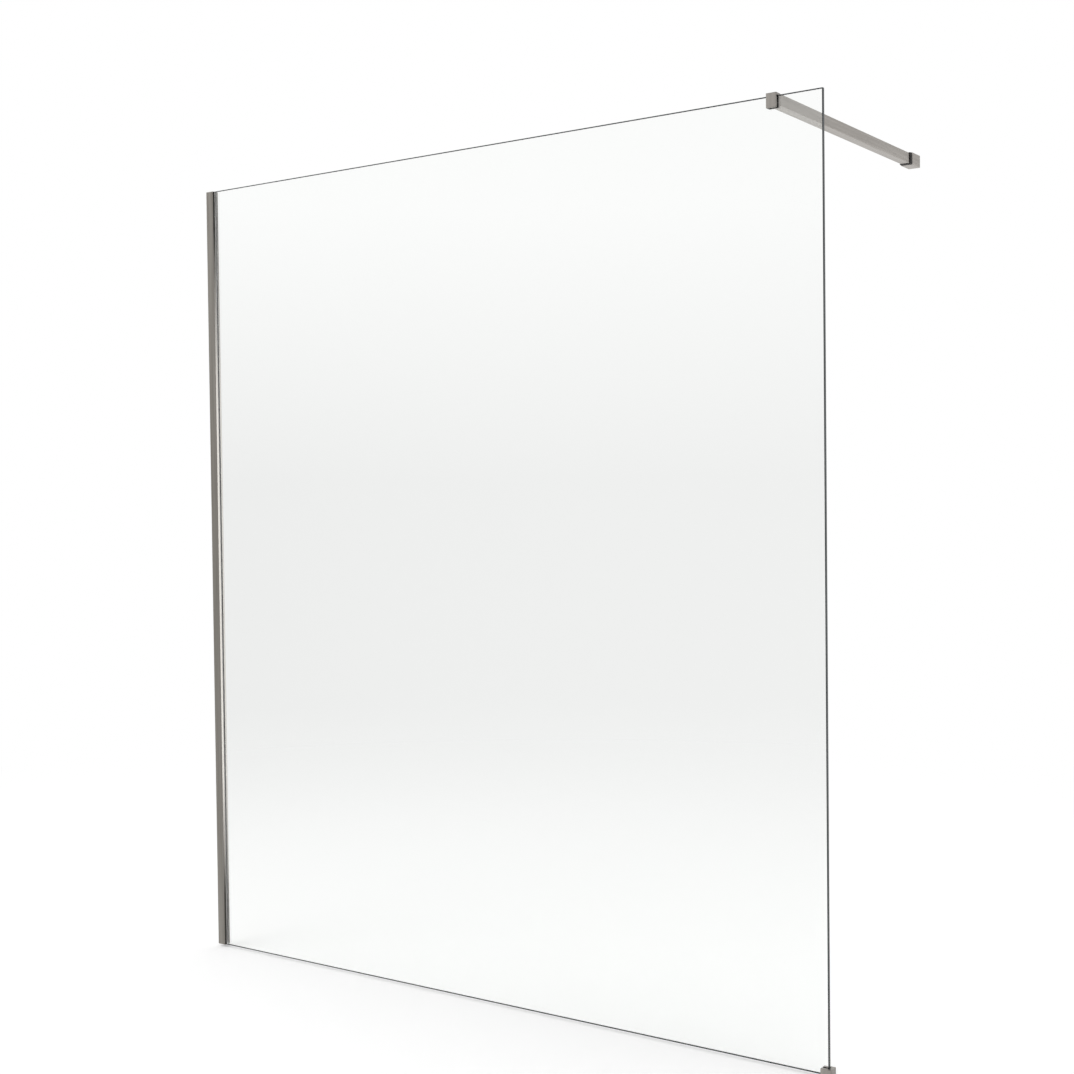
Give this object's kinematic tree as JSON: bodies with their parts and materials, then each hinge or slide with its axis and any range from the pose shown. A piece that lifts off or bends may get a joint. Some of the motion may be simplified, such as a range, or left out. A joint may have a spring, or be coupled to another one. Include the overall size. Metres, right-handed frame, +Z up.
{
  "type": "walk-in shower screen",
  "caption": "Clear glass walk-in shower screen held by a wall channel, with a support bar back to a wall socket and a small floor shoe under its free corner.",
  "frame": {"origin": "on the side wall, at the bottom end of the wall channel and in the middle of the glass thickness", "axes": "+X from the side wall along the glass to its free edge, +Y from the glass to the wall that the support bar reaches, +Z up"},
  "size_m": [1.7665, 0.7805, 2.0127],
  "materials": {
    "satin_aluminium": "satin anodised, drawn lengthwise",
    "mill_aluminium": "as extruded",
    "brushed_nickel": "brushed nickel",
    "stainless_steel": "turned stainless steel",
    "clear_glass": "clear toughened glass with polished edges",
    "black_rubber": "matt moulded rubber",
    "clear_seal": "translucent soft vinyl",
    "black_plastic": "matt moulded plastic",
    "grey_plastic": "satin moulded plastic"
  },
  "bodies": {
    "channel": {"wall_channel": "satin_aluminium", "lip_seal_front": "clear_seal", "lip_seal_rear": "clear_seal", "channel_top_cap": "grey_plastic"},
    "panel": {"edge_rail": "mill_aluminium", "edge_rail_gasket": "black_rubber", "rail_lock_screws": "stainless_steel", "glass_panel": "clear_glass", "floor_shoe": "brushed_nickel", "shoe_gasket": "black_rubber", "shoe_end_pad": "black_rubber", "shoe_grub_screw": "stainless_steel"},
    "arm": {"glass_clamp": "brushed_nickel", "clamp_gasket": "black_rubber", "clamp_grub_screws": "stainless_steel", "bar_spigot": "mill_aluminium", "spigot_screw": "stainless_steel", "spigot_grub_screw": "stainless_steel", "support_bar": "brushed_nickel", "bar_end_plug": "black_plastic"},
    "socket": {"wall_socket": "brushed_nickel", "socket_collar": "black_plastic", "wall_boss": "mill_aluminium", "socket_grub_screws": "stainless_steel"}
  },
  "joints": [
    {"name": "width_adjustment", "type": "slide", "parent": "channel", "child": "panel", "axis": [1, 0, 0], "range_m": [-0.003, 0.003]},
    {"name": "clamp_along_edge", "type": "slide", "parent": "panel", "child": "arm", "axis": [1, 0, 0], "range_m": [-0.5, 0.08]},
    {"name": "socket_on_bar", "type": "slide", "parent": "arm", "child": "socket", "axis": [0, 1, 0], "range_m": [-0.005, 0.005]}
  ]
}
